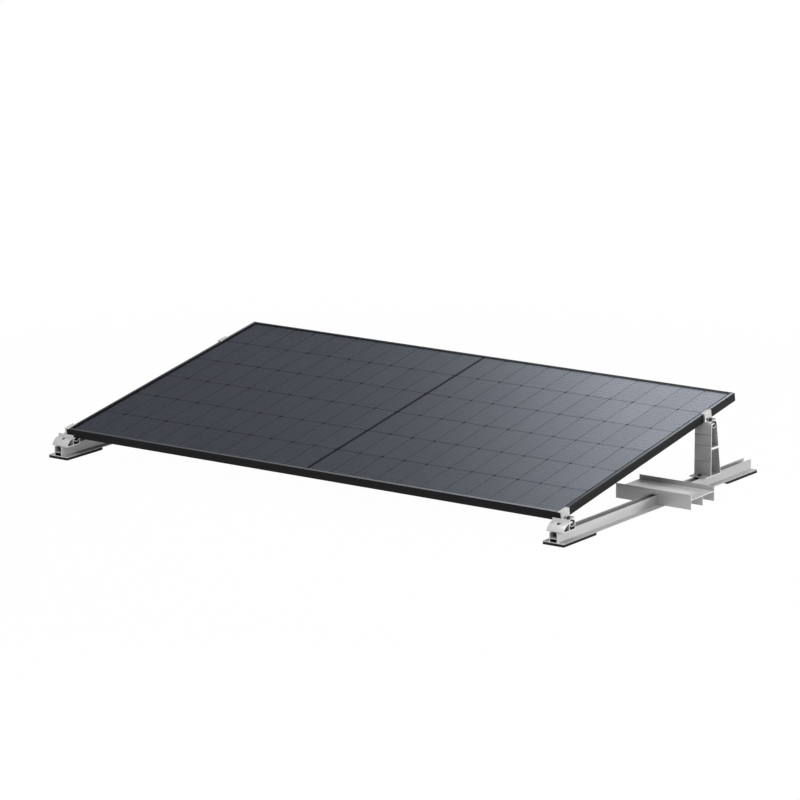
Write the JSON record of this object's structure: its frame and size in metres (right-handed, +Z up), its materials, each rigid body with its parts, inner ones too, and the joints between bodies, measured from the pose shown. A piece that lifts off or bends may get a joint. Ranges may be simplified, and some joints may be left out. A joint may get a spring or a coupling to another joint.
{
  "type": "solar panel mount",
  "caption": "Low-tilt flat-roof mount: a framed solar module clamped on low front brackets and tall rear posts, on ballasted base rails with rubber pads.",
  "frame": {"origin": "middle of the footprint, on the roof surface under the pads", "axes": "+X along the long side of the module, from one rail to the other; +Y along the rails, up the slope; +Z up"},
  "size_m": [2.4006, 1.251, 0.2993],
  "materials": {
    "rail": "mill-finish extrusion, fine lengthways lines",
    "bracket": "mill-finish extrusion, satin",
    "post": "mill-finish extrusion, satin",
    "tray": "mill-finish extrusion, satin",
    "clamp": "bright anodised, smooth",
    "pad_rubber": "bonded rubber granulate, matt",
    "clip_plastic": "moulded, matt",
    "nut_steel": "stainless steel",
    "bolt_steel": "stainless steel, dark",
    "module_frame": "black anodised, satin",
    "key_aluminium": "plain",
    "module_glass": "toughened, anti-reflective",
    "cell": "dark blue-black silicon",
    "backsheet": "black film",
    "box_plastic": "black moulded"
  },
  "bodies": {
    "root": {"rail_left": "rail", "rail_right": "rail", "pad_front_left": "pad_rubber", "clamp_front_left": "clamp", "pad_front_right": "pad_rubber", "clamp_front_right": "clamp", "pad_rear_left": "pad_rubber", "clamp_rear_left": "clamp", "pad_rear_right": "pad_rubber", "clamp_rear_right": "clamp", "front_bracket_left": "bracket", "rear_post_left": "post", "ballast_tray_left": "tray", "front_bracket_right": "bracket", "rear_post_right": "post", "ballast_tray_right": "tray", "clamp_clips": "clip_plastic", "clamp_nuts": "nut_steel", "channel_nuts": "nut_steel", "clamp_bolts": "bolt_steel", "front_bracket_bolts": "bolt_steel", "rear_post_bolts": "bolt_steel", "frame_front": "module_frame", "frame_rear": "module_frame", "frame_left": "module_frame", "frame_right": "module_frame", "frame_corner_keys": "key_aluminium", "front_glass": "module_glass", "cells": "cell", "backsheet": "backsheet", "junction_boxes": "box_plastic", "junction_box_lids": "box_plastic"}
  },
  "joints": []
}
